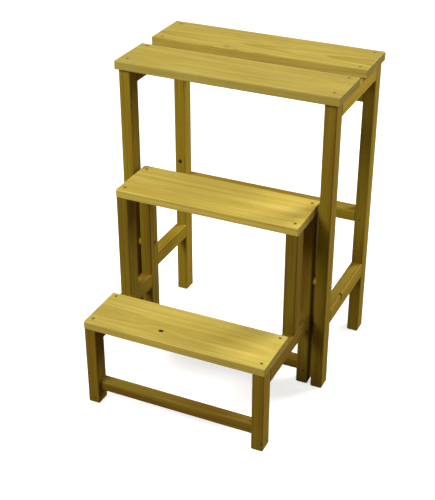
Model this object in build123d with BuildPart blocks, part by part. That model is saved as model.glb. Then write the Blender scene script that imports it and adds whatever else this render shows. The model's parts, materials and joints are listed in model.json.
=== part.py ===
"""A wooden three-step ladder. A four-legged stand carries the top step, and a unit with the two lower
steps swings on two pivot bolts: up, over and back under the top step, where it rests on the stop rail.
Millimetres, +Z up, X across the ladder, -Y the side that one climbs from."""
from build123d import *
import math
import os

os.makedirs("parts", exist_ok=True)

# Rises: floor to low step, low to middle, middle to top
low_rise = 195.0
middle_rise = 222.0
top_rise = 233.0

# Planed stock
stick_thick = 25.0
stick_deep = 33.0
cross_rail_square = 25.0
cross_rail_round = 6.0
board_thick = 18.0
edge_round = 3.0
foot_chamfer = 2.2

# Stand
stand_width = 452.0
stand_depth = 268.0
top_board_deep = 116.0
side_overhang = 6.0
front_overhang = 5.0
low_side_rail_bottom = 143.0
top_rail_swing_clearance = 17.0

# Step unit
unit_side_gap = 8.0
unit_reach = 238.0
unit_setback = 2.0
low_tread_deep = 120.0
middle_tread_deep = 124.0
cross_rail_bottom = 28.0
rear_cross_rail_setback = 4.0
swing_foot_lift = 1.0
stow_clearance = 0.5

# Pivot bolts, with the wooden plugs over their heads, their round nuts, washers and spacers
pivot_height = 248.0
bolt_d = 6.0
bolt_fit = 0.05
head_d = 11.0
head_thick = 4.5
head_socket = 5.0
head_socket_deep = 2.5
plug_d = 13.0
plug_thick = 5.5
plug_fit = 0.02
nut_d = 9.5
nut_thick = 4.3
nut_socket = 4.5
nut_socket_deep = 2.2
nut_web = 0.6
nut_side_clearance = 0.4
nut_pocket_depth = 6.0
washer_thick = 1.0
spacer_d = 24.0
turning_clearance = 0.3

# Wood screws that hold the boards down
screw_d = 3.5
screw_fit = 0.02
screw_head_d = 7.0
screw_length = 42.0
screw_tip = 5.0
screw_edge_inset = 12.0
screw_slot_long = 4.0
screw_slot_wide = 0.9
screw_slot_deep = 1.3

# Heights
low_top = low_rise
middle_top = low_rise + middle_rise
height = middle_top + top_rise
low_under = low_top - board_thick
middle_under = middle_top - board_thick
top_under = height - board_thick

# Across the ladder
stand_post_x = stand_width / 2 - stick_thick / 2
stand_inner = stand_width / 2 - stick_thick
unit_outer = stand_inner - unit_side_gap
unit_inner = unit_outer - stick_thick
unit_post_x = unit_outer - stick_thick / 2

# Front to back, with the whole ladder centred on Y
overall_depth = unit_reach + stand_depth
stand_back = overall_depth / 2
stand_front = stand_back - stand_depth
unit_front = stand_front - unit_reach
front_leg_y = stand_front + stick_deep / 2
back_leg_y = stand_back - stick_deep / 2
low_leg_y = unit_front + stick_deep / 2
unit_rear_front = stand_front + unit_setback
unit_rear_y = unit_rear_front + stick_deep / 2
unit_back = unit_rear_front + stick_deep
middle_front = unit_back - middle_tread_deep
mid_post_y = middle_front + stick_deep / 2
low_leg_back = unit_front + stick_deep

# The swing: the foot of a low leg draws the widest circle round the pivot
swing_radius = math.hypot(unit_rear_y - unit_front, pivot_height)
back_rail_front = stand_back - stick_deep
swing_top_at_rail = pivot_height + math.sqrt(swing_radius**2 - (back_rail_front - unit_rear_y) ** 2)
top_rail_bottom = swing_top_at_rail + top_rail_swing_clearance
stop_rail_bottom = 2 * pivot_height - low_top - stow_clearance - stick_thick

# Screw places, each over the middle of the stick below it
low_tread_screw_ys = (low_leg_y, unit_front + low_tread_deep - screw_edge_inset)
middle_tread_screw_ys = (mid_post_y, unit_rear_y)
board_front = stand_front - front_overhang
front_board_screw_ys = (front_leg_y, board_front + top_board_deep - screw_edge_inset)
rear_board_screw_ys = (stand_back - top_board_deep + screw_edge_inset, back_leg_y)

SIDES = (("left", -1), ("right", 1))


def planed_stick(plane, wide, deep, length, round_over=edge_round):
    """Adds a straight stick to the part being built: a rectangle along its plane's normal, edges eased."""
    with BuildSketch(plane) as section:
        Rectangle(wide, deep)
    extrude(section.sketch, amount=length)
    fillet(edges().filter_by(Axis(plane.origin, plane.z_dir)), round_over)


def ease_foot():
    """Chamfers the bottom end of the standing stick being built."""
    chamfer(faces().sort_by(Axis.Z)[0].edges(), foot_chamfer)


def screw_pilots(x, ys, top):
    """Drills the holes that the board screws bite into, down from the top of the stick being built."""
    with Locations(*[(x, y, top) for y in ys]):
        Hole(screw_d / 2 + screw_fit, depth=screw_length - board_thick + screw_fit)


def keep(part, name):
    """Labels a finished piece and writes its file."""
    part.label = name
    export_step(part, f"parts/{name}.step")


# ---- Stand: legs ----
for side, sign in SIDES:
    outward = Plane(origin=(sign * stand_width / 2, unit_rear_y, pivot_height), z_dir=(sign, 0, 0))
    with BuildPart() as front_leg:
        planed_stick(Plane((sign * stand_post_x, front_leg_y, 0)), stick_thick, stick_deep, top_under)
        ease_foot()
        screw_pilots(sign * stand_post_x, (front_leg_y,), top_under)
        with Locations(outward):
            CounterBoreHole(bolt_d / 2 + bolt_fit, plug_d / 2 + plug_fit, plug_thick + head_thick)
    keep(front_leg.part, f"{side}_front_leg")

    with BuildPart() as back_leg:
        planed_stick(Plane((sign * stand_post_x, back_leg_y, 0)), stick_thick, stick_deep, top_under)
        ease_foot()
        screw_pilots(sign * stand_post_x, (back_leg_y,), top_under)
    keep(back_leg.part, f"{side}_back_leg")

# ---- Stand: side rails between the front and back legs ----
side_rail_length = stand_depth - 2 * stick_deep
side_rail_start = stand_front + stick_deep
for side, sign in SIDES:
    with BuildPart() as top_side_rail:
        middle_z = top_under - stick_deep / 2
        start = Plane((sign * stand_post_x, side_rail_start, middle_z), x_dir=(1, 0, 0), z_dir=(0, 1, 0))
        planed_stick(start, stick_thick, stick_deep, side_rail_length)
        screw_pilots(sign * stand_post_x, (front_board_screw_ys[1], rear_board_screw_ys[0]), top_under)
    keep(top_side_rail.part, f"{side}_top_side_rail")

    with BuildPart() as low_side_rail:
        middle_z = low_side_rail_bottom + stick_deep / 2
        start = Plane((sign * stand_post_x, side_rail_start, middle_z), x_dir=(1, 0, 0), z_dir=(0, 1, 0))
        planed_stick(start, stick_thick, stick_deep, side_rail_length)
    keep(low_side_rail.part, f"{side}_low_side_rail")

# ---- Stand: the two rails between the back legs, both laid flat ----
for name, bottom in (("back_top_rail", top_rail_bottom), ("back_stop_rail", stop_rail_bottom)):
    with BuildPart() as back_rail:
        start = Plane((-stand_inner, back_leg_y, bottom + stick_thick / 2), x_dir=(0, 1, 0), z_dir=(1, 0, 0))
        planed_stick(start, stick_deep, stick_thick, 2 * stand_inner)
    keep(back_rail.part, name)

# ---- Stand: the top step, two boards with a hand hold between them ----
board_length = stand_width + 2 * side_overhang


def stepping_board(front, deep, length, top, screw_x, screw_ys):
    """Adds a board to the part being built, with its edges eased and a countersunk hole for each screw."""
    start = Plane((-length / 2, front + deep / 2, top - board_thick / 2), x_dir=(0, 1, 0), z_dir=(1, 0, 0))
    planed_stick(start, deep, board_thick, length)
    with Locations(*[(sign * screw_x, y, top) for sign in (-1, 1) for y in screw_ys]):
        CounterSinkHole(screw_d / 2 + screw_fit, screw_head_d / 2 + screw_fit, counter_sink_angle=90)


with BuildPart() as front_top_board:
    stepping_board(board_front, top_board_deep, board_length, height, stand_post_x, front_board_screw_ys)
keep(front_top_board.part, "front_top_board")

with BuildPart() as rear_top_board:
    rear_board_front = stand_back - top_board_deep
    stepping_board(rear_board_front, top_board_deep, board_length, height, stand_post_x, rear_board_screw_ys)
keep(rear_top_board.part, "rear_top_board")

# ---- Step unit: legs and posts ----
for side, sign in SIDES:
    with BuildPart() as low_front_leg:
        planed_stick(Plane((sign * unit_post_x, low_leg_y, 0)), stick_thick, stick_deep, low_under)
        ease_foot()
        screw_pilots(sign * unit_post_x, (low_leg_y,), low_under)
    keep(low_front_leg.part, f"{side}_low_front_leg")

    inward = Plane(origin=(sign * unit_inner, unit_rear_y, pivot_height), z_dir=(-sign, 0, 0))
    with BuildPart() as swing_leg:
        foot = Plane((sign * unit_post_x, unit_rear_y, swing_foot_lift))
        planed_stick(foot, stick_thick, stick_deep, middle_under - swing_foot_lift)
        ease_foot()
        screw_pilots(sign * unit_post_x, (unit_rear_y,), middle_under)
        with Locations(inward):
            CounterBoreHole(bolt_d / 2 + bolt_fit, nut_d / 2 + nut_side_clearance, nut_pocket_depth)
    keep(swing_leg.part, f"{side}_swing_leg")

    with BuildPart() as mid_post:
        foot = Plane((sign * unit_post_x, mid_post_y, low_under))
        planed_stick(foot, stick_thick, stick_deep, middle_under - low_under)
        screw_pilots(sign * unit_post_x, (mid_post_y,), middle_under)
    keep(mid_post.part, f"{side}_mid_post")

# ---- Step unit: side rails under the low step, and the low cross rails ----
for side, sign in SIDES:
    with BuildPart() as step_side_rail:
        middle_z = low_under - stick_deep / 2
        start = Plane((sign * unit_post_x, low_leg_back, middle_z), x_dir=(1, 0, 0), z_dir=(0, 1, 0))
        planed_stick(start, stick_thick, stick_deep, unit_rear_front - low_leg_back)
        screw_pilots(sign * unit_post_x, (low_tread_screw_ys[1],), low_under)
    keep(step_side_rail.part, f"{side}_step_side_rail")

rear_rail_y = unit_rear_front + rear_cross_rail_setback + cross_rail_square / 2
front_rail_y = low_leg_back - cross_rail_square / 2
for name, rail_y in (("front_cross_rail", front_rail_y), ("rear_cross_rail", rear_rail_y)):
    with BuildPart() as cross_rail:
        middle_z = cross_rail_bottom + cross_rail_square / 2
        start = Plane((-unit_inner, rail_y, middle_z), x_dir=(0, 1, 0), z_dir=(1, 0, 0))
        planed_stick(start, cross_rail_square, cross_rail_square, 2 * unit_inner, cross_rail_round)
    keep(cross_rail.part, name)

# ---- Step unit: the low and middle steps ----
with BuildPart() as low_tread:
    stepping_board(unit_front, low_tread_deep, 2 * unit_outer, low_top, unit_post_x, low_tread_screw_ys)
keep(low_tread.part, "low_tread")

with BuildPart() as middle_tread:
    stepping_board(
        middle_front, middle_tread_deep, 2 * unit_outer, middle_top, unit_post_x, middle_tread_screw_ys
    )
keep(middle_tread.part, "middle_tread")

# ---- Pivot: on each side a plug, a bolt from outside, a spacer in the gap, and a washer and nut inside ----
head_outer = stand_width / 2 - plug_thick
head_under = head_outer - head_thick
washer_outer = unit_inner + nut_pocket_depth - turning_clearance
nut_outer = washer_outer - washer_thick
nut_inner = nut_outer - nut_thick
bolt_inner_end = nut_inner + nut_socket_deep + nut_web


def pivot_plane(sign, x):
    """A plane across the pivot's axis at distance x from the ladder's middle, facing outwards."""
    return Plane(origin=(sign * x, unit_rear_y, pivot_height), x_dir=(0, 1, 0), z_dir=(sign, 0, 0))


def pivot_ring(sign, inner_x, outer_d, thick):
    """Adds a disc with the bolt's hole through it to the part being built."""
    with BuildSketch(pivot_plane(sign, inner_x)) as ring:
        Circle(outer_d / 2)
        Circle(bolt_d / 2 + bolt_fit, mode=Mode.SUBTRACT)
    extrude(ring.sketch, amount=thick)


for side, sign in SIDES:
    with BuildPart() as pivot_plug:
        with BuildSketch(pivot_plane(sign, head_outer)):
            Circle(plug_d / 2)
        extrude(amount=plug_thick)
    keep(pivot_plug.part, f"{side}_pivot_plug")

    with BuildPart() as pivot_bolt:
        with BuildSketch(pivot_plane(sign, bolt_inner_end)):
            Circle(bolt_d / 2)
        extrude(amount=head_under - bolt_inner_end)
        with BuildSketch(pivot_plane(sign, head_under)):
            Circle(head_d / 2)
        extrude(amount=head_thick)
        with BuildSketch(pivot_plane(sign, head_outer - head_socket_deep)):
            RegularPolygon(head_socket / 2, 6, major_radius=False)
        extrude(amount=head_socket_deep, mode=Mode.SUBTRACT)
    keep(pivot_bolt.part, f"{side}_pivot_bolt")

    with BuildPart() as pivot_nut:
        with BuildSketch(pivot_plane(sign, nut_inner)):
            Circle(nut_d / 2)
        extrude(amount=nut_thick)
        with BuildSketch(pivot_plane(sign, nut_inner)):
            RegularPolygon(nut_socket / 2, 6, major_radius=False)
        extrude(amount=nut_socket_deep, mode=Mode.SUBTRACT)
        with BuildSketch(pivot_plane(sign, bolt_inner_end)):
            Circle(bolt_d / 2 + bolt_fit)
        extrude(amount=nut_outer - bolt_inner_end, mode=Mode.SUBTRACT)
    keep(pivot_nut.part, f"{side}_pivot_nut")

    with BuildPart() as pivot_washer:
        pivot_ring(sign, nut_outer, nut_d, washer_thick)
    keep(pivot_washer.part, f"{side}_pivot_washer")

    with BuildPart() as pivot_spacer:
        pivot_ring(sign, unit_outer + turning_clearance, spacer_d, unit_side_gap - turning_clearance)
    keep(pivot_spacer.part, f"{side}_pivot_spacer")

# ---- Board screws: countersunk head, plain shank, pointed tip, cross recess ----
screw_sets = (
    ("low_tread_screw", unit_post_x, low_tread_screw_ys, low_top),
    ("middle_tread_screw", unit_post_x, middle_tread_screw_ys, middle_top),
    ("front_board_screw", stand_post_x, front_board_screw_ys, height),
    ("rear_board_screw", stand_post_x, rear_board_screw_ys, height),
)
head_cone = (screw_head_d - screw_d) / 2
for set_name, screw_x, screw_ys, top in screw_sets:
    for side, sign in SIDES:
        for place, y in zip(("front", "rear"), screw_ys):
            with BuildPart() as board_screw:
                with BuildSketch(Plane(origin=(sign * screw_x, y, top), x_dir=(1, 0, 0), z_dir=(0, -1, 0))):
                    with BuildLine():
                        Polyline(
                            (0, 0),
                            (screw_head_d / 2, 0),
                            (screw_d / 2, -head_cone),
                            (screw_d / 2, screw_tip - screw_length),
                            (0, -screw_length),
                            close=True,
                        )
                    make_face()
                revolve(axis=Axis((sign * screw_x, y, top), (0, 0, 1)))
                with BuildSketch(Plane((sign * screw_x, y, top))):
                    Rectangle(screw_slot_long, screw_slot_wide)
                    Rectangle(screw_slot_wide, screw_slot_long)
                extrude(amount=-screw_slot_deep, mode=Mode.SUBTRACT)
            keep(board_screw.part, f"{set_name}_{side}_{place}")
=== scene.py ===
import json
import math
import random

import bmesh
import bpy
from mathutils import Euler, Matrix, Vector

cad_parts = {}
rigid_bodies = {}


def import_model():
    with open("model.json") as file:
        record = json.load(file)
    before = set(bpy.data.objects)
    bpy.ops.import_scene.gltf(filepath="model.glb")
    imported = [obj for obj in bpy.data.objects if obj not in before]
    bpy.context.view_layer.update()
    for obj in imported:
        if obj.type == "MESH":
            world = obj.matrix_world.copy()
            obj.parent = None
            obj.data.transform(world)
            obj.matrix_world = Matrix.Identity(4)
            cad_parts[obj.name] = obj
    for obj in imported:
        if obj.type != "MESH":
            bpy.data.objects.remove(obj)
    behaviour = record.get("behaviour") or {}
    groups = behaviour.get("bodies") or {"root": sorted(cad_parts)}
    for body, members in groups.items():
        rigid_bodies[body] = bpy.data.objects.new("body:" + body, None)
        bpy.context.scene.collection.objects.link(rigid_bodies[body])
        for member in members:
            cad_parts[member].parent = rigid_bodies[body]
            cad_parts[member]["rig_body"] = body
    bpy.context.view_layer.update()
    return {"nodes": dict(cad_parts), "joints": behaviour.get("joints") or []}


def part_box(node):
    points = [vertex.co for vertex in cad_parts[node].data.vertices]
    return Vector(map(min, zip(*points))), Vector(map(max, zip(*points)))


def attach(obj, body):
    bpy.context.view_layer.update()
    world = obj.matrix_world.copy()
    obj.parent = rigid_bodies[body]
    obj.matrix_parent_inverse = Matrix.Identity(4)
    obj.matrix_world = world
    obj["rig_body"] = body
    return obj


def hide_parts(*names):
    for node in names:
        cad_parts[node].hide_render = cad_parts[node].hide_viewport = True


# A wooden three-step ladder. A tall stand carries the top step, and a unit with the two lower steps
# swings over on two pivot bolts and stows under it.
# Metres, +Z up, X across the ladder, -Y the side that one climbs from.
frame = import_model()

# ---------------------------------------------------------------- Studio: camera, floor and lights
# The camera stands to the right of the ladder and above it. The ladder stands on seamless white paper,
# between a large soft box at the front left and another at the back right.
camera_data = bpy.data.cameras.new("camera")
camera = bpy.data.objects.new("camera", camera_data)
bpy.context.scene.collection.objects.link(camera)
bpy.context.scene.camera = camera
camera_turn = math.radians(24.82)
camera_dip = math.radians(29.80)
camera.location = (0.804, -1.780, 1.390)
camera.rotation_euler = (math.pi / 2 - camera_dip, 0, camera_turn)
camera_data.lens = 79
camera_data.sensor_width = 36

floor_size = 60.0
floor_mesh = bpy.data.meshes.new("floor")
floor_build = bmesh.new()
bmesh.ops.create_grid(floor_build, x_segments=1, y_segments=1, size=floor_size / 2)
floor_build.to_mesh(floor_mesh)
floor_build.free()
floor = bpy.data.objects.new("floor", floor_mesh)
bpy.context.scene.collection.objects.link(floor)

# The paper is lit evenly from behind, so it looks white and still shows the ladder's shadow. Only a little
# warm light comes back from it, as from a floor that is larger and darker than the paper.
paper = bpy.data.materials.new("seamless paper")
paper.use_nodes = True
paper_tree = paper.node_tree
paper_shader = paper_tree.nodes["Principled BSDF"]
paper_shader.inputs["Base Color"].default_value = (0.80, 0.80, 0.80, 1)
paper_shader.inputs["Roughness"].default_value = 0.9
paper_shader.inputs["Specular IOR Level"].default_value = 0.1
paper_glow = paper_tree.nodes.new("ShaderNodeEmission")
paper_glow.inputs["Strength"].default_value = 0.62
paper_seen = paper_tree.nodes.new("ShaderNodeAddShader")
paper_back = paper_tree.nodes.new("ShaderNodeBsdfDiffuse")
paper_back.inputs["Color"].default_value = (0.20, 0.15, 0.10, 1)
paper_choice = paper_tree.nodes.new("ShaderNodeMixShader")
paper_rays = paper_tree.nodes.new("ShaderNodeLightPath")
paper_tree.links.new(paper_shader.outputs[0], paper_seen.inputs[0])
paper_tree.links.new(paper_glow.outputs[0], paper_seen.inputs[1])
paper_tree.links.new(paper_rays.outputs["Is Camera Ray"], paper_choice.inputs[0])
paper_tree.links.new(paper_back.outputs[0], paper_choice.inputs[1])
paper_tree.links.new(paper_seen.outputs[0], paper_choice.inputs[2])
paper_tree.links.new(paper_choice.outputs[0], paper_tree.nodes["Material Output"].inputs["Surface"])
floor_mesh.materials.append(paper)

world = bpy.data.worlds.new("studio air")
bpy.context.scene.world = world
world.use_nodes = True
air_tree = world.node_tree
air = air_tree.nodes["Background"]
air.inputs["Color"].default_value = (1.0, 0.95, 0.88, 1)
air.inputs["Strength"].default_value = 0.15
air_seen = air_tree.nodes.new("ShaderNodeBackground")
air_seen.inputs["Color"].default_value = (1.0, 1.0, 1.0, 1)
air_choice = air_tree.nodes.new("ShaderNodeMixShader")
air_rays = air_tree.nodes.new("ShaderNodeLightPath")
air_tree.links.new(air_rays.outputs["Is Camera Ray"], air_choice.inputs[0])
air_tree.links.new(air.outputs[0], air_choice.inputs[1])
air_tree.links.new(air_seen.outputs[0], air_choice.inputs[2])
air_tree.links.new(air_choice.outputs[0], air_tree.nodes["World Output"].inputs["Surface"])
bpy.context.scene.view_settings.view_transform = "Standard"


def soft_box(name, place, aim, size, watts, tint):
    """A square area light at a place, turned to face the aim point."""
    data = bpy.data.lights.new(name, "AREA")
    data.shape = "SQUARE"
    data.size = size
    data.energy = watts
    data.color = tint
    light = bpy.data.objects.new(name, data)
    bpy.context.scene.collection.objects.link(light)
    light.location = place
    light.rotation_euler = (Vector(aim) - Vector(place)).to_track_quat("-Z", "Y").to_euler()


box_size = 1.4
daylight = (1.0, 1.0, 1.0)
ladder_middle = (0, 0, 0.3)
soft_box("front left soft box", (-1.4, -1.9, 2.6), ladder_middle, box_size, watts=90, tint=(1.0, 0.99, 0.95))
soft_box("back right soft box", (1.8, 2.2, 2.2), ladder_middle, box_size, watts=100, tint=daylight)
soft_box("right side soft box", (2.9, 0.3, 1.6), (0, 0, 0.4), box_size, watts=24, tint=daylight)

# ---------------------------------------------------------------- Boards: the two treads and the top step
# Flat-sawn pine boards 18 mm thick, planed, with eased edges and the grain along the ladder's width.
# Each is held by four countersunk screws. They are oiled once, and look matt and a little green.


def add(tree, kind, inputs=None, **settings):
    """Adds a node with its settings, and links or fills each of the inputs named."""
    made = tree.nodes.new(kind)
    for key, value in settings.items():
        setattr(made, key, value)
    for key, value in (inputs or {}).items():
        if isinstance(value, bpy.types.NodeSocket):
            tree.links.new(value, made.inputs[key])
        else:
            made.inputs[key].default_value = value
    return made


def reckon(tree, operation, first, second=0.0, third=0.0):
    """One step of arithmetic on numbers: gives the result's socket."""
    return add(tree, "ShaderNodeMath", {0: first, 1: second, 2: third}, operation=operation).outputs[0]


def reckon_place(tree, operation, first, second=(0, 0, 0)):
    """One step of arithmetic on places: gives the result's socket."""
    return add(tree, "ShaderNodeVectorMath", {0: first, 1: second}, operation=operation).outputs[0]


def stretch(tree, place, cycles):
    """A place counted in cycles per metre on each axis, for a pattern longer one way than another."""
    return reckon_place(tree, "MULTIPLY", place, cycles)


def along_axis(tree, place, axis):
    """How far a place or a normal reaches along an axis."""
    return add(tree, "ShaderNodeVectorMath", {0: place, 1: axis}, operation="DOT_PRODUCT").outputs["Value"]


def blend(tree, share, first, second):
    """A mix of two colours. A Mix node keeps its colours on the sockets 6 and 7, and their mix on output 2."""
    return add(tree, "ShaderNodeMix", {0: share, 6: first, 7: second}, data_type="RGBA").outputs[2]


def rise(tree, value, low, high, start=0.0, end=1.0):
    """A smooth step: as the value goes from low to high, the result goes from start to end."""
    inputs = {"Value": value, "From Min": low, "From Max": high, "To Min": start, "To Max": end}
    return add(tree, "ShaderNodeMapRange", inputs, interpolation_type="SMOOTHSTEP").outputs["Result"]


def cloudy(tree, place, seed, detail=2.0):
    """Soft noise of about one cycle per unit of place, different for each seed."""
    inputs = {"Vector": place, "W": seed, "Scale": 1.0, "Detail": detail}
    return add(tree, "ShaderNodeTexNoise", inputs, noise_dimensions="4D").outputs


def new_group(name, inputs, outputs):
    """An empty shader node group with the named inputs and outputs, and its input sockets."""
    group = bpy.data.node_groups.new(name, "ShaderNodeTree")
    for socket, kind in inputs.items():
        group.interface.new_socket(socket, in_out="INPUT", socket_type="NodeSocket" + kind)
    for socket in outputs:
        group.interface.new_socket(socket, in_out="OUTPUT", socket_type="NodeSocketFloat")
    return group, group.nodes.new("NodeGroupInput").outputs


# Pine growth. The place is measured from the tree's heart, with X along the grain.
growth, given = new_group(
    "pine growth",
    {
        "Grain Place": "Vector",
        "Ring Width": "Float",
        "Wander": "Float",
        "Seed": "Float",
        "Knot Along": "Float",
        "Knot Side": "Vector",
        "Knot Radius": "Float",
    },
    ("Late Wood", "Fibre", "Streak", "Cloud", "Knot", "Height"),
)
grain_place = given["Grain Place"]
seed = given["Seed"]

# The heart wanders slowly along the tree, which bends the rings into long arches.
slow = cloudy(growth, stretch(growth, grain_place, (2.2, 6.0, 6.0)), seed)["Color"]
centred = reckon_place(growth, "SUBTRACT", slow, (0.5, 0.5, 0.5))
shift = add(growth, "ShaderNodeVectorMath", {0: centred, "Scale": given["Wander"]}, operation="SCALE")
place = reckon_place(growth, "ADD", grain_place, shift.outputs[0])
place_parts = add(growth, "ShaderNodeSeparateXYZ", {0: place}).outputs
along = add(growth, "ShaderNodeSeparateXYZ", {0: grain_place}).outputs[0]

# A knot is a branch that runs straight out from the heart. Round it the rings part and close again.
beside = along_axis(growth, grain_place, given["Knot Side"])
beside_squared = reckon(growth, "MULTIPLY", beside, beside)
knot_along = reckon(growth, "SUBTRACT", along, given["Knot Along"])
knot_long = reckon(growth, "MULTIPLY", knot_along, 0.40)
parted = reckon(growth, "SQRT", reckon(growth, "MULTIPLY_ADD", knot_long, knot_long, beside_squared))
knot_oval = reckon(growth, "MULTIPLY", knot_along, 0.75)
near = reckon(growth, "SQRT", reckon(growth, "MULTIPLY_ADD", knot_oval, knot_oval, beside_squared))
parted_radii = reckon(growth, "DIVIDE", parted, given["Knot Radius"])
near_radii = reckon(growth, "DIVIDE", near, given["Knot Radius"])
parting = reckon(growth, "EXPONENT", reckon(growth, "MULTIPLY", parted_radii, -0.5))
parting = reckon(growth, "MULTIPLY", parting, reckon(growth, "MULTIPLY", given["Knot Radius"], 2.0))
ragged = cloudy(growth, stretch(growth, grain_place, (260.0, 420.0, 420.0)), seed)["Fac"]
knot_edge = reckon(growth, "MULTIPLY_ADD", ragged, 0.7, near_radii)
knot = rise(growth, knot_edge, 1.1, 1.6, start=1.0, end=0.0)

# Rings: pale early wood darkens slowly into late wood and then stops short. No two years are alike.
across_squared = reckon(growth, "MULTIPLY", place_parts[2], place_parts[2])
across_squared = reckon(growth, "MULTIPLY_ADD", place_parts[1], place_parts[1], across_squared)
from_heart = reckon(growth, "ADD", reckon(growth, "SQRT", across_squared), parting)
years = reckon(growth, "DIVIDE", from_heart, given["Ring Width"])
year_seed = reckon(growth, "MULTIPLY_ADD", years, 0.4, seed)
uneven_inputs = {"W": year_seed, "Scale": 1.0, "Detail": 1.0}
uneven = add(growth, "ShaderNodeTexNoise", uneven_inputs, noise_dimensions="1D").outputs["Fac"]
years = reckon(growth, "MULTIPLY_ADD", uneven, 2.4, years)
year_share = reckon(growth, "FRACT", years)
year_number = reckon(growth, "ADD", reckon(growth, "FLOOR", years), seed)
year_force = add(growth, "ShaderNodeTexWhiteNoise", {"W": year_number}, noise_dimensions="1D")
year_force = reckon(growth, "MULTIPLY_ADD", year_force.outputs["Value"], 0.8, 0.2)
darkest = 0.85
darkening = rise(growth, year_share, 0.25, darkest)
stopping = rise(growth, year_share, darkest, 1.0, start=1.0, end=0.0)
late = reckon(growth, "MULTIPLY", reckon(growth, "MULTIPLY", darkening, stopping), year_force)

# Fibres are long and hair thin, streaks of resin are longer and wider, and clouds are where oil sank in.
fine = cloudy(growth, stretch(growth, grain_place, (18.0, 1700.0, 1700.0)), seed)["Fac"]
coarse = cloudy(growth, stretch(growth, place, (5.0, 380.0, 380.0)), seed, 3.0)["Fac"]
fibre = reckon(growth, "MULTIPLY_ADD", coarse, 0.6, reckon(growth, "MULTIPLY", fine, 0.4))
streak = cloudy(growth, stretch(growth, place, (2.6, 120.0, 120.0)), seed, 3.0)["Fac"]
streak = rise(growth, streak, 0.42, 0.62)
cloud = cloudy(growth, stretch(growth, grain_place, (7.0, 30.0, 30.0)), seed, 3.0)["Fac"]
height = reckon(growth, "MULTIPLY_ADD", late, 0.5, reckon(growth, "MULTIPLY", fibre, 0.9))
add(
    growth,
    "NodeGroupOutput",
    {"Late Wood": late, "Fibre": fibre, "Streak": streak, "Cloud": cloud, "Knot": knot, "Height": height},
)

# Eased edge: how near a point is to an edge of its piece. The pine is painted a little lighter there.
# A point on an edge has two of its three depths below the piece's faces near nothing, so the second least
# of the three is what counts.
eased_inputs = {"Place": "Vector", "Middle": "Vector", "Half Size": "Vector"}
eased, given = new_group("eased edge", eased_inputs, ("Edge",))
offset = reckon_place(eased, "SUBTRACT", given["Place"], given["Middle"])
inside = reckon_place(eased, "SUBTRACT", given["Half Size"], reckon_place(eased, "ABSOLUTE", offset))
depth = add(eased, "ShaderNodeSeparateXYZ", {0: inside}).outputs
least = reckon(eased, "MINIMUM", reckon(eased, "MINIMUM", depth[0], depth[1]), depth[2])
most = reckon(eased, "MAXIMUM", reckon(eased, "MAXIMUM", depth[0], depth[1]), depth[2])
total = reckon(eased, "ADD", reckon(eased, "ADD", depth[0], depth[1]), depth[2])
second_least = reckon(eased, "SUBTRACT", reckon(eased, "SUBTRACT", total, least), most)
edge_wobble = cloudy(eased, stretch(eased, given["Place"], (80.0, 80.0, 80.0)), 0.0, 3.0)["Fac"]
edge_band_reach = 0.0034
edge_band_wander = 0.004
second_least = reckon(eased, "ADD", second_least, edge_band_wander / 2)
second_least = reckon(eased, "MULTIPLY_ADD", edge_wobble, -edge_band_wander, second_least)
add(eased, "NodeGroupOutput", {"Edge": rise(eased, second_least, 0.0, edge_band_reach, start=1.0, end=0.0)})

# How the grain's own axes are turned so that the grain runs along a piece, and the axis it then follows.
# A piece without a knot has it far away along the tree.
GRAIN_TURN = {"X": (0, 0, 0), "Y": (0, 0, math.pi / 2), "Z": (0, -math.pi / 2, 0)}
GRAIN_AXIS = {"X": (1, 0, 0), "Y": (0, 1, 0), "Z": (0, 0, 1)}
board_colours = ((0.550, 0.440, 0.094), (0.390, 0.280, 0.040), (0.465, 0.320, 0.046))
knot_brown = (0.050, 0.024, 0.008, 1)
NO_KNOT = 9.0


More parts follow.
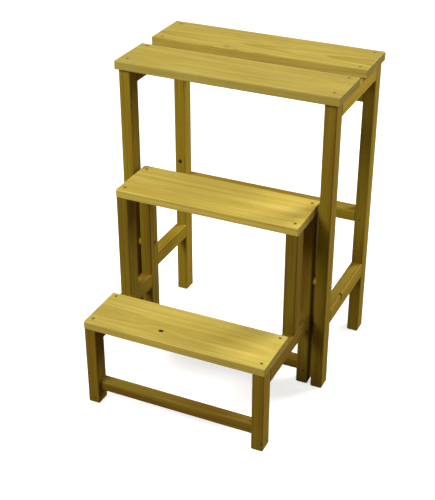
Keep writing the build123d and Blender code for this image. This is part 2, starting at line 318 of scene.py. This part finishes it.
def pine(node, grain, heart, colours, tone_and_painted_light=1.0, ring_width=0.003, wander=0.010, seed=0.0, slope=0.0,
         ring_show=0.5, resin_show=0.4, knot_at=None, knot_radius=0.003, knot_show=1.0):
    """Pine for one piece. The heart is where the tree's middle runs, from the piece's middle, on the two axes
    across the grain; slope tilts it. Colours are early wood, late wood and resin; the tone scales them, for
    the piece's own shade of wood and for painted light and shade.
    A knot is given by the point where it comes out, from the piece's middle, and by how dark it shows."""
    low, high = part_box(node)
    middle = (low + high) / 2
    material = bpy.data.materials.new("pine, " + node.replace("_", " "))
    material.use_nodes = True
    tree = material.node_tree
    shader = tree.nodes["Principled BSDF"]
    where = add(tree, "ShaderNodeTexCoord").outputs
    across = [k for k in range(3) if k != "XYZ".index(grain)]
    heart_place = middle.copy()
    heart_place[across[0]] += heart[0]
    heart_place[across[1]] += heart[1]
    turn = Vector(GRAIN_TURN[grain]) + Vector((0, slope, 0))
    turned = add(
        tree,
        "ShaderNodeMapping",
        {"Vector": where["Object"], "Location": heart_place, "Rotation": turn},
        vector_type="TEXTURE",
    ).outputs[0]
    rings = add(tree, "ShaderNodeGroup", node_tree=growth)
    tree.links.new(turned, rings.inputs["Grain Place"])
    rings.inputs["Ring Width"].default_value = ring_width
    rings.inputs["Wander"].default_value = wander
    rings.inputs["Seed"].default_value = seed
    rings.inputs["Knot Along"].default_value = NO_KNOT
    rings.inputs["Knot Radius"].default_value = knot_radius
    if knot_at:
        branch = Vector(knot_at) + middle - heart_place
        branch.rotate(Euler(turn).to_quaternion().inverted())
        rings.inputs["Knot Along"].default_value = branch.x
        rings.inputs["Knot Side"].default_value = Vector((0, -branch.z, branch.y)).normalized()
    rings = rings.outputs
    edge = add(tree, "ShaderNodeGroup", node_tree=eased)
    tree.links.new(where["Object"], edge.inputs["Place"])
    edge.inputs["Middle"].default_value = middle
    edge.inputs["Half Size"].default_value = (high - low) / 2
    edge = edge.outputs["Edge"]

    # End grain drinks more oil, so it is darker and duller, and its rings stand out.
    facing = reckon(tree, "ABSOLUTE", along_axis(tree, where["Normal"], GRAIN_AXIS[grain]))
    end_grain = rise(tree, facing, 0.75, 0.95)

    # The tone scales the colours: the piece's own shade of wood, with painted light and shade in it.
    early, late_wood, resin = (tuple(c * tone_and_painted_light for c in colour) + (1,) for colour in colours)
    lateness = reckon(tree, "MULTIPLY", rise(tree, rings["Fibre"], 0.42, 0.60), 0.45)
    ring_strength = reckon(tree, "MULTIPLY_ADD", end_grain, 0.8, ring_show)
    lateness = reckon(tree, "MULTIPLY_ADD", rings["Late Wood"], ring_strength, lateness)
    wood = blend(tree, lateness, early, late_wood)
    wood = blend(tree, reckon(tree, "MULTIPLY", rings["Streak"], resin_show), wood, resin)
    shade = rise(tree, rings["Cloud"], 0.3, 0.7, start=0.92, end=1.05)
    shade = reckon(tree, "MULTIPLY", shade, rise(tree, end_grain, 0.0, 1.0, start=1.0, end=0.55))
    # The pine is painted 7% lighter along the edges of the piece.
    shade = reckon(tree, "MULTIPLY", shade, rise(tree, edge, 0.0, 1.0, start=1.0, end=1.07))
    wood = add(tree, "ShaderNodeVectorMath", {0: wood, "Scale": shade}, operation="SCALE").outputs[0]
    wood = blend(tree, reckon(tree, "MULTIPLY", rings["Knot"], knot_show), wood, knot_brown)
    tree.links.new(wood, shader.inputs["Base Color"])
    roughness = reckon(tree, "MULTIPLY_ADD", rings["Fibre"], 0.22, 0.54)
    roughness = reckon(tree, "MULTIPLY_ADD", end_grain, 0.2, roughness)
    tree.links.new(roughness, shader.inputs["Roughness"])
    shader.inputs["Specular IOR Level"].default_value = 0.2
    bump = add(tree, "ShaderNodeBump", {"Strength": 0.4, "Distance": 0.0004, "Height": rings["Height"]})
    tree.links.new(bump.outputs[0], shader.inputs["Normal"])
    return material


def turned_shape(name, profile, centre, axis, sides=40):
    """A closed shape turned round an axis, used to cut a hole. The profile lists, from its lowest end, how
    far along the axis each ring is and its radius."""
    build = bmesh.new()
    axis = Vector(axis)
    side = axis.orthogonal().normalized()
    up = axis.cross(side)
    rings = []
    for distance, radius in profile:
        ring = []
        for k in range(sides):
            angle = 2 * math.pi * k / sides
            spoke = (side * math.cos(angle) + up * math.sin(angle)) * radius
            ring.append(build.verts.new(Vector(centre) + axis * distance + spoke))
        rings.append(ring)
    for lower, upper in zip(rings, rings[1:]):
        for k in range(sides):
            following = (k + 1) % sides
            build.faces.new((lower[k], lower[following], upper[following], upper[k]))
    build.faces.new(rings[0])
    build.faces.new(rings[-1])
    bmesh.ops.recalc_face_normals(build, faces=build.faces)
    mesh = bpy.data.meshes.new(name)
    build.to_mesh(mesh)
    build.free()
    return mesh


def planed_piece(node, grain, wood, round_over=0.003, low_end=0.0004, high_end=0.0004, holes=()):
    """A board or stick in the place of its CAD node: planed square, its long edges rounded over, its two ends
    eased, and its holes cut."""
    low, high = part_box(node)
    axis = "XYZ".index(grain)
    build = bmesh.new()
    bmesh.ops.create_cube(build, size=1.0)
    for vert in build.verts:
        vert.co = Vector((low[k] + high[k]) / 2 + vert.co[k] * (high[k] - low[k]) for k in range(3))
    long_edges = [e for e in build.edges if abs(e.verts[0].co[axis] - e.verts[1].co[axis]) > 0.001]
    bmesh.ops.bevel(build, geom=long_edges, offset=round_over, segments=6, profile=0.5, affect="EDGES")
    for end, ease in ((low[axis], low_end), (high[axis], high_end)):
        rim = [e for e in build.edges if all(abs(v.co[axis] - end) < 1e-6 for v in e.verts)]
        bmesh.ops.bevel(build, geom=rim, offset=ease, segments=2, profile=0.5, affect="EDGES")
    bmesh.ops.recalc_face_normals(build, faces=build.faces)
    mesh = bpy.data.meshes.new(node + "_wood")
    build.to_mesh(mesh)
    build.free()
    mesh.shade_smooth()
    piece = bpy.data.objects.new(node + "_wood", mesh)
    bpy.context.scene.collection.objects.link(piece)
    if holes:
        gather = bmesh.new()
        for hole in holes:
            gather.from_mesh(hole)
        cutter_mesh = bpy.data.meshes.new("holes")
        gather.to_mesh(cutter_mesh)
        gather.free()
        cutter = bpy.data.objects.new("holes", cutter_mesh)
        bpy.context.scene.collection.objects.link(cutter)
        drill = piece.modifiers.new("holes", "BOOLEAN")
        drill.operation = "DIFFERENCE"
        drill.solver = "EXACT"
        drill.object = cutter
    shading = piece.modifiers.new("flat faces, round edges", "WEIGHTED_NORMAL")
    shading.keep_sharp = True
    bpy.context.view_layer.update()
    finished = bpy.data.meshes.new_from_object(piece.evaluated_get(bpy.context.evaluated_depsgraph_get()))
    piece.modifiers.clear()
    piece.data = finished
    if holes:
        bpy.data.objects.remove(cutter)
    finished.materials.clear()
    finished.materials.append(wood)
    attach(piece, frame["nodes"][node]["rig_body"])
    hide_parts(node)


screw_nodes = sorted(name for name in frame["nodes"] if "_screw_" in name)
hole_fit = 0.00002
hole_start = 0.001
hole_end = -0.03
board_round = 0.0024
board_end_ease = 0.0012
board_screws = {
    "low_tread": "low_tread_screw",
    "middle_tread": "middle_tread_screw",
    "front_top_board": "front_board_screw",
    "rear_top_board": "rear_board_screw",
}
# Each tone is partly the board's own shade of wood and partly painted light: the two treads, shaded by the top
# step above them, are painted lighter.
board_figure = {
    "low_tread": dict(
        heart=(-0.012, -0.052), ring_width=0.0042, wander=0.016, seed=21.9, slope=0.012, tone_and_painted_light=1.19,
        ring_show=0.55, resin_show=0.30, knot_at=(-0.039, -0.026, 0.009), knot_radius=0.0040,
    ),
    "middle_tread": dict(
        heart=(0.046, -0.085), ring_width=0.0030, wander=0.007, seed=12.4, tone_and_painted_light=1.29,
        ring_show=0.80, resin_show=0.60,
    ),
    "front_top_board": dict(
        heart=(0.022, -0.048), ring_width=0.0038, wander=0.010, seed=3.1, slope=0.008, tone_and_painted_light=0.90,
        ring_show=0.62, resin_show=0.55,
    ),
    "rear_top_board": dict(
        heart=(-0.018, -0.030), ring_width=0.0062, wander=0.022, seed=7.7, slope=-0.034, tone_and_painted_light=0.95,
        ring_show=1.10, resin_show=0.50, knot_at=(-0.067, -0.048, 0.009), knot_radius=0.0055, knot_show=0.30,
    ),
}
for node, figure in board_figure.items():
    low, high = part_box(node)
    countersinks = []
    for screw in screw_nodes:
        if screw.startswith(board_screws[node]):
            screw_low, screw_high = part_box(screw)
            head = (screw_high.x - screw_low.x) / 2 + hole_fit
            shank = head / 2
            top = ((screw_low.x + screw_high.x) / 2, (screw_low.y + screw_high.y) / 2, high.z)
            profile = ((hole_end, shank), (shank - head, shank), (0, head), (hole_start, head))
            countersinks.append(turned_shape("countersink", profile, top, (0, 0, 1)))
    wood = pine(node, "X", colours=board_colours, **figure)
    planed_piece(node, "X", wood, board_round, board_end_ease, board_end_ease, countersinks)

# ---------------------------------------------------------------- Legs and posts
# Upright pine sticks, 25 by 33 mm, darker and browner than the boards. Their feet are chamfered. The front
# legs and the swing legs are bored for the pivot bolts, with a pocket for the plug or the nut.
stick_colours = ((0.560, 0.415, 0.024), (0.400, 0.245, 0.012), (0.470, 0.225, 0.012))
pin_knot = 0.0014
# Each tone is partly the stick's own shade of wood and partly painted shade: the sticks of the step unit,
# under the treads, are painted darker.
upright_figure = {
    "left_front_leg": dict(tone_and_painted_light=0.61, resin_show=0.35),
    "right_front_leg": dict(tone_and_painted_light=0.50, resin_show=0.6),
    "left_back_leg": dict(tone_and_painted_light=0.65, resin_show=0.6, knot_at=(0, -0.0165, 0.02), knot_radius=0.0035),
    "right_back_leg": dict(tone_and_painted_light=0.55, resin_show=0.6, knot_at=(-0.001, -0.0165, -0.034), knot_radius=pin_knot),
    "left_low_front_leg": dict(
        tone_and_painted_light=0.48, resin_show=0.9, knot_at=(0.004, -0.0165, -0.077), knot_radius=pin_knot
    ),
    "right_low_front_leg": dict(
        tone_and_painted_light=0.50, resin_show=0.7, knot_at=(0.009, -0.0165, -0.071), knot_radius=pin_knot
    ),
    "left_mid_post": dict(tone_and_painted_light=0.46, resin_show=0.45),
    "right_mid_post": dict(tone_and_painted_light=0.35, resin_show=0.85),
    "left_swing_leg": dict(tone_and_painted_light=0.46, resin_show=0.7, knot_at=(0.0125, -0.004, -0.002), knot_radius=0.0012),
    "right_swing_leg": dict(tone_and_painted_light=0.40, resin_show=0.8, knot_at=(0.004, -0.0165, -0.168), knot_radius=pin_knot),
}
foot_chamfer = 0.0022
stick_end_ease = 0.0003
bolt_bore = 0.00305
bolt_head_thick = 0.0045
nut_pocket = 0.006
nut_room = 0.0004
pivot = Vector(frame["joints"][0]["pos_m"])
chance = random.Random(11)
for node, figure in upright_figure.items():
    side, kind = node.split("_", 1)
    outward = 1 if side == "right" else -1
    low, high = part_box(node)
    outer_x, inner_x = (high.x, low.x) if outward > 0 else (low.x, high.x)
    holes = []
    if kind == "front_leg":
        plug_low, plug_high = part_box(side + "_pivot_plug")
        plug_radius = (plug_high.z - plug_low.z) / 2 + hole_fit
        pocket = plug_high.x - plug_low.x + bolt_head_thick
        profile = (
            (hole_end, bolt_bore), (-pocket, bolt_bore), (-pocket, plug_radius), (hole_start, plug_radius)
        )
        holes.append(turned_shape("plug pocket", profile, (outer_x, pivot.y, pivot.z), (outward, 0, 0)))
    if kind == "swing_leg":
        nut_low, nut_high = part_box(side + "_pivot_nut")
        pocket_radius = (nut_high.z - nut_low.z) / 2 + nut_room
        profile = (
            (hole_end, bolt_bore),
            (-nut_pocket, bolt_bore),
            (-nut_pocket, pocket_radius),
            (hole_start, pocket_radius),
        )
        holes.append(turned_shape("nut pocket", profile, (inner_x, pivot.y, pivot.z), (-outward, 0, 0)))
    heart = (chance.choice((-1, 1)) * chance.uniform(0.035, 0.06), chance.uniform(0.03, 0.07))
    wood = pine(
        node, "Z", heart, stick_colours, ring_width=chance.uniform(0.0024, 0.0036), wander=0.006,
        seed=chance.uniform(0, 90), ring_show=0.5, **figure,
    )
    foot = stick_end_ease if kind == "mid_post" else foot_chamfer
    planed_piece(node, "Z", wood, low_end=foot, high_end=stick_end_ease, holes=holes)

# ---------------------------------------------------------------- Side rails and back rails
# The same 25 by 33 mm sticks, laid between the legs and fixed with glued dowels: the side rails stand on
# edge, and the two rails between the back legs lie flat.
# Each tone is partly the rail's own shade of wood and partly painted shade: the two step side rails, under the
# treads, are painted darker.
rail_figure = {
    "left_top_side_rail": dict(tone_and_painted_light=0.58, resin_show=0.6),
    "right_top_side_rail": dict(tone_and_painted_light=0.73, resin_show=0.3),
    "left_low_side_rail": dict(tone_and_painted_light=0.62, resin_show=0.3),
    "right_low_side_rail": dict(tone_and_painted_light=0.60, resin_show=0.5, knot_at=(0.0125, -0.035, 0.011), knot_radius=0.003),
    "left_step_side_rail": dict(tone_and_painted_light=0.44, resin_show=0.8),
    "right_step_side_rail": dict(tone_and_painted_light=0.39, resin_show=0.8),
    "back_top_rail": dict(tone_and_painted_light=0.62, resin_show=0.5),
    "back_stop_rail": dict(tone_and_painted_light=0.62, resin_show=0.5),
}
for node, figure in rail_figure.items():
    grain = "Y" if "side_rail" in node else "X"
    heart = (chance.choice((-1, 1)) * chance.uniform(0.025, 0.05), chance.uniform(-0.06, -0.035))
    wood = pine(
        node, grain, heart, stick_colours, ring_width=chance.uniform(0.0026, 0.0036), wander=0.008,
        seed=chance.uniform(0, 90), ring_show=0.5, **figure,
    )
    planed_piece(node, grain, wood)

# ---------------------------------------------------------------- Cross rails
# The two low rails of the step unit, 25 mm square, with their edges rounded over twice as much as the rest,
# because feet and shins knock against them.
cross_round = 0.006
# Their low tones are partly painted shade, for their place under the low tread.
for node, tone_and_painted_light in (("front_cross_rail", 0.47), ("rear_cross_rail", 0.49)):
    heart = (chance.uniform(0.02, 0.04), chance.uniform(-0.05, -0.03))
    wood = pine(
        node, "X", heart, stick_colours, tone_and_painted_light=tone_and_painted_light, ring_width=0.0034, wander=0.010,
        seed=chance.uniform(0, 90), slope=0.01, ring_show=0.5, resin_show=0.9,
    )
    planed_piece(node, "X", wood, round_over=cross_round)

# ---------------------------------------------------------------- Spacers and plugs of the pivots
# A wooden ring fills the gap between stand and unit on each side, and a wooden plug covers each bolt's
# head. Both are cut from pale pine: the ring across the grain, the plug along it.
for side in ("left", "right"):
    for kind, grain, tone_and_painted_light in (("pivot_spacer", "X", 0.9), ("pivot_plug", "Z", 0.6)):
        node = f"{side}_{kind}"
        growth_seed = chance.uniform(0, 90)
        wood = pine(node, grain, (0.04, 0.03), stick_colours, tone_and_painted_light=tone_and_painted_light, seed=growth_seed, resin_show=0.3)
        frame["nodes"][node].data.materials.clear()
        frame["nodes"][node].data.materials.append(wood)

# ---------------------------------------------------------------- Bolts, nuts and washers of the pivots
# Yellow zinc plated steel that has gone dull: clouded, darker where it is stained, and finely scratched.
# The CAD's own turned shapes are shown.


def dull_metal(name, bright, stained, roughness, metallic):
    """Metal with clouds of stain and fine scratches. A lower metallic share stands for more dirt on it."""
    material = bpy.data.materials.new(name)
    material.use_nodes = True
    tree = material.node_tree
    shader = tree.nodes["Principled BSDF"]
    where = add(tree, "ShaderNodeTexCoord").outputs["Object"]
    clouds = cloudy(tree, stretch(tree, where, (300.0, 300.0, 300.0)), 2.0, 4.0)["Fac"]
    scratches = cloudy(tree, stretch(tree, where, (900.0, 7000.0, 900.0)), 5.0)["Fac"]
    colour = blend(tree, rise(tree, clouds, 0.35, 0.7), bright + (1,), stained + (1,))
    tree.links.new(colour, shader.inputs["Base Color"])
    tree.links.new(reckon(tree, "MULTIPLY_ADD", clouds, 0.3, roughness - 0.15), shader.inputs["Roughness"])
    shader.inputs["Metallic"].default_value = metallic
    bump = add(tree, "ShaderNodeBump", {"Strength": 0.25, "Distance": 0.0001, "Height": scratches})
    tree.links.new(bump.outputs[0], shader.inputs["Normal"])
    return material


yellow_zinc = dull_metal("dull yellow zinc", (0.42, 0.33, 0.14), (0.20, 0.15, 0.07), 0.45, 0.85)
for side in ("left", "right"):
    for kind in ("bolt", "nut", "washer"):
        hardware = frame["nodes"][f"{side}_pivot_{kind}"]
        hardware.data.materials.clear()
        hardware.data.materials.append(yellow_zinc)

# ---------------------------------------------------------------- Wood screws
# Countersunk screws with a cross recess, brass coloured once and now brown, driven just flush. Each one
# stopped at its own angle.
screws_tree = bpy.data.node_groups.new("countersunk screws", "GeometryNodeTree")
screws_tree.interface.new_socket("Points", in_out="INPUT", socket_type="NodeSocketGeometry")
for name in (
    "Head Diameter", "Shank Diameter", "Length", "Tip Length", "Slot Length", "Slot Width", "Slot Depth"
):
    screws_tree.interface.new_socket(name, in_out="INPUT", socket_type="NodeSocketFloat")
screws_tree.interface.new_socket("Seed", in_out="INPUT", socket_type="NodeSocketInt")
screws_tree.interface.new_socket("Finish", in_out="INPUT", socket_type="NodeSocketMaterial")
screws_tree.interface.new_socket("Screws", in_out="OUTPUT", socket_type="NodeSocketGeometry")
given = screws_tree.nodes.new("NodeGroupInput").outputs
head = reckon(screws_tree, "MULTIPLY", given["Head Diameter"], 0.5)
shank = reckon(screws_tree, "MULTIPLY", given["Shank Diameter"], 0.5)
cone_deep = reckon(screws_tree, "SUBTRACT", head, shank)
shaft_long = reckon(screws_tree, "SUBTRACT", given["Length"], given["Tip Length"])
shaft_long = reckon(screws_tree, "SUBTRACT", shaft_long, cone_deep)
shaft_end = reckon(screws_tree, "ADD", shaft_long, cone_deep)


def screw_length_of(top, bottom, deep, lowest, sides):
    """A round length of the screw, with the radius at its top and bottom. Its bottom is this far below the
    top of the head."""
    inputs = {"Vertices": sides, "Radius Top": top, "Radius Bottom": bottom, "Depth": deep}
    length = add(screws_tree, "GeometryNodeMeshCone", inputs).outputs["Mesh"]
    lowered = reckon(screws_tree, "MULTIPLY", lowest, -1.0)
    down = add(screws_tree, "ShaderNodeCombineXYZ", {2: lowered}).outputs[0]
    return add(screws_tree, "GeometryNodeTransform", {"Geometry": length, "Translation": down}).outputs[0]


# The cross recess is cut by two bars, one across the other, that reach as far above the head as below it.
cone = screw_length_of(head, shank, cone_deep, cone_deep, 32)
shaft = screw_length_of(shank, shank, shaft_long, shaft_end, 16)
tip = screw_length_of(shank, 0.0, given["Tip Length"], given["Length"], 16)
slot_deep = reckon(screws_tree, "MULTIPLY", given["Slot Depth"], 2.0)
for wide, long in ((given["Slot Length"], given["Slot Width"]), (given["Slot Width"], given["Slot Length"])):
    size = add(screws_tree, "ShaderNodeCombineXYZ", {0: wide, 1: long, 2: slot_deep}).outputs[0]
    bar = add(screws_tree, "GeometryNodeMeshCube", {"Size": size}).outputs["Mesh"]
    cone = add(
        screws_tree, "GeometryNodeMeshBoolean", {0: cone, 1: bar}, operation="DIFFERENCE", solver="EXACT"
    ).outputs[0]
joined = screws_tree.nodes.new("GeometryNodeJoinGeometry")
for part in (tip, shaft, cone):
    screws_tree.links.new(part, joined.inputs[0])
angle = add(
    screws_tree, "FunctionNodeRandomValue", {2: 0.0, 3: math.pi / 2, "Seed": given["Seed"]}, data_type="FLOAT"
).outputs[1]
turn = add(screws_tree, "ShaderNodeCombineXYZ", {2: angle}).outputs[0]
placed = add(
    screws_tree,
    "GeometryNodeInstanceOnPoints",
    {"Points": given["Points"], "Instance": joined.outputs[0], "Rotation": turn},
).outputs[0]
real = add(screws_tree, "GeometryNodeRealizeInstances", {0: placed}).outputs[0]
brassed = add(screws_tree, "GeometryNodeSetMaterial", {"Geometry": real, "Material": given["Finish"]})
add(screws_tree, "NodeGroupOutput", {"Screws": brassed.outputs[0]})

brown_brass = dull_metal("brown brass", (0.42, 0.30, 0.09), (0.20, 0.13, 0.04), 0.6, 0.5)
screw_sizes = {
    "Head Diameter": 0.007,
    "Shank Diameter": 0.0035,
    "Length": 0.042,
    "Tip Length": 0.005,
    "Slot Length": 0.004,
    "Slot Width": 0.0009,
    "Slot Depth": 0.0013,
    "Seed": 4,
    "Finish": brown_brass,
}
for body, words in (("stand", "_board_screw_"), ("step_unit", "_tread_screw_")):
    nodes = [name for name in screw_nodes if words in name]
    points = []
    for name in nodes:
        low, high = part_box(name)
        points.append(((low.x + high.x) / 2, (low.y + high.y) / 2, high.z))
    mesh = bpy.data.meshes.new(body + "_screws")
    mesh.from_pydata(points, [], [])
    screws = bpy.data.objects.new(body + "_screws", mesh)
    bpy.context.scene.collection.objects.link(screws)
    driven = screws.modifiers.new("screws", "NODES")
    driven.node_group = screws_tree
    for item in screws_tree.interface.items_tree:
        if item.in_out == "INPUT" and item.name in screw_sizes:
            driven[item.identifier] = screw_sizes[item.name]
    bpy.context.view_layer.update()
    finished = bpy.data.meshes.new_from_object(screws.evaluated_get(bpy.context.evaluated_depsgraph_get()))
    screws.modifiers.clear()
    screws.data = finished
    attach(screws, body)
    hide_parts(*nodes)
